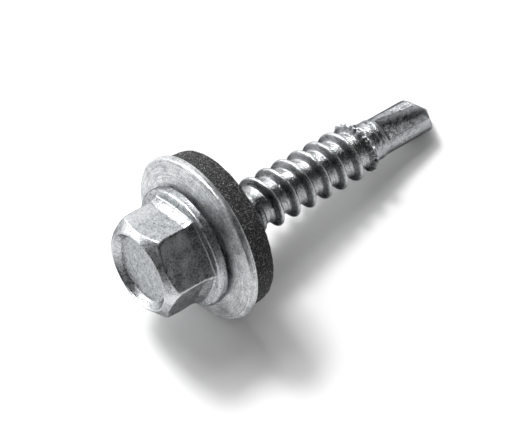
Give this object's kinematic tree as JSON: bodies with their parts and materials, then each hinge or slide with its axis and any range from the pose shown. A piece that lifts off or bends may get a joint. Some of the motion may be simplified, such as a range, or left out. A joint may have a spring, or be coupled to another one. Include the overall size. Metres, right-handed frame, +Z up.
{
  "type": "self drilling screw",
  "caption": "Self drilling screw with a hexagon washer head, a spaced tapping thread, a fluted drill point and a bonded sealing washer, lying on its side.",
  "frame": {"origin": "centre of the bottom of the bounding box, on the surface that the screw lies on", "axes": "+X level, from the head towards the tip; +Z up; the screw's own axis dips 13.6 degrees below +X in the XZ plane, because the washer is wider than the drill point"},
  "size_m": [0.031, 0.0146, 0.0143],
  "materials": {
    "zinc_plated_steel": "bright zinc plating over forged and rolled steel",
    "galvanised_sheet": "satin galvanised sheet, faintly brushed",
    "black_rubber": "matt granular black rubber"
  },
  "bodies": {
    "screw": {"screw": "zinc_plated_steel"},
    "sealing_washer": {"steel_washer": "galvanised_sheet", "rubber_seal": "black_rubber"}
  },
  "joints": [
    {"name": "washer_spin", "type": "hinge", "parent": "screw", "child": "sealing_washer", "pos_m": [-0.00983, 0, 0.00744], "axis": [0.9719, 0, -0.2356], "continuous": true}
  ]
}
